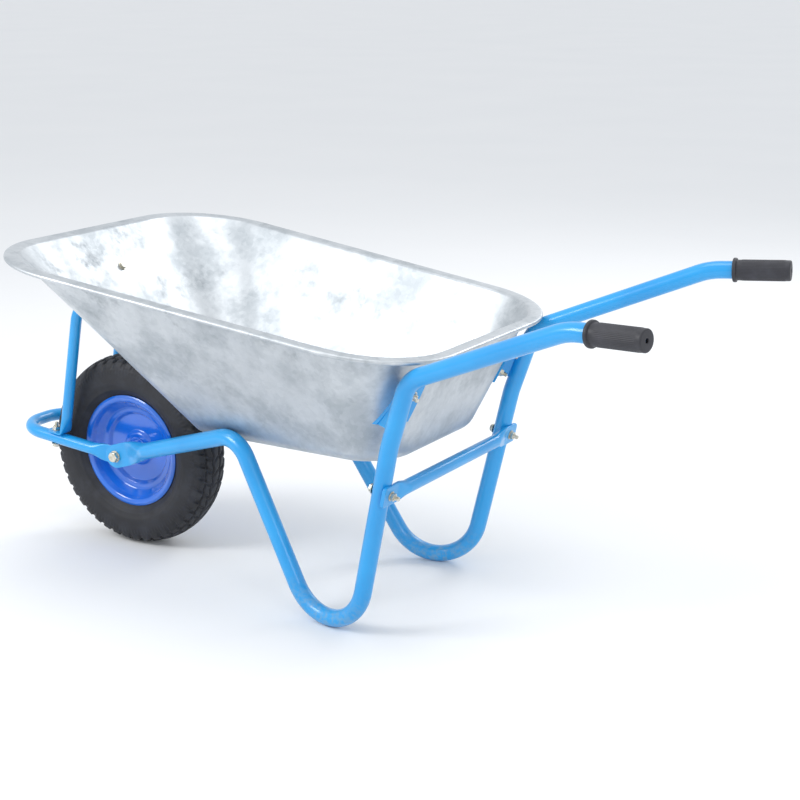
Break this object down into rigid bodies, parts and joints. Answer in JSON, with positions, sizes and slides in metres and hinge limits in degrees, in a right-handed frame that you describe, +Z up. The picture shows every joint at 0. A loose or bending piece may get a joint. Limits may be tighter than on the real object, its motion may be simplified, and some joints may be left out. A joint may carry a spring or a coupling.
{
  "type": "wheelbarrow",
  "caption": "Single-wheel builder's wheelbarrow with a drawn steel tray on a bent tube frame, a pneumatic wheel, looped legs and sleeved handles.",
  "frame": {"origin": "on the ground, under the middle of the overall length and of the width", "axes": "+X from the wheel to the handles, +Y to the right hand of the user, +Z up"},
  "size_m": [1.5043, 0.692, 0.6443],
  "materials": {
    "galvanised_sheet": "hot-dip galvanised, drawn and brushed",
    "grip_pvc": "soft matt PVC",
    "tyre_rubber": "matt rubber with block tread",
    "black_rubber": "matt",
    "cap_plastic": "moulded",
    "rim_enamel": "gloss enamel",
    "bearing_steel": "ground",
    "frame_enamel": "gloss powder coat",
    "zinc_steel": "bright zinc plate"
  },
  "bodies": {
    "frame": {"axle_bolt": "zinc_steel", "axle_nut": "zinc_steel", "axle_sleeve": "zinc_steel", "axle_spacer_left": "zinc_steel", "axle_spacer_right": "zinc_steel", "axle_washers": "zinc_steel", "bar_bolts": "zinc_steel", "bar_nuts": "zinc_steel", "bar_washers": "zinc_steel", "bearing_inner_left": "bearing_steel", "bearing_inner_right": "bearing_steel", "bracket_bolts": "zinc_steel", "bracket_nuts": "zinc_steel", "bracket_washers": "zinc_steel", "cross_bar": "frame_enamel", "front_stay": "frame_enamel", "grip_left": "grip_pvc", "grip_right": "grip_pvc", "nose_loop": "frame_enamel", "side_tube_left": "frame_enamel", "side_tube_right": "frame_enamel", "stay_foot_bolts": "zinc_steel", "stay_foot_nuts": "zinc_steel", "stay_foot_washers": "zinc_steel", "stay_top_bolt": "zinc_steel", "stay_top_nut": "zinc_steel", "stay_top_washers": "zinc_steel", "tray": "galvanised_sheet", "tray_bracket_left": "frame_enamel", "tray_bracket_right": "frame_enamel"},
    "wheel": {"bearing_balls": "bearing_steel", "bearing_outer_left": "bearing_steel", "bearing_outer_right": "bearing_steel", "bearing_seals": "black_rubber", "hub_tube": "rim_enamel", "inner_tube": "black_rubber", "rim_left": "rim_enamel", "rim_right": "rim_enamel", "tyre": "tyre_rubber", "valve_cap": "cap_plastic", "valve_stem": "black_rubber"}
  },
  "joints": [
    {"name": "wheel_spin", "type": "hinge", "parent": "frame", "child": "wheel", "pos_m": [-0.48107, 0, 0.195], "axis": [0, 1, 0], "continuous": true}
  ]
}
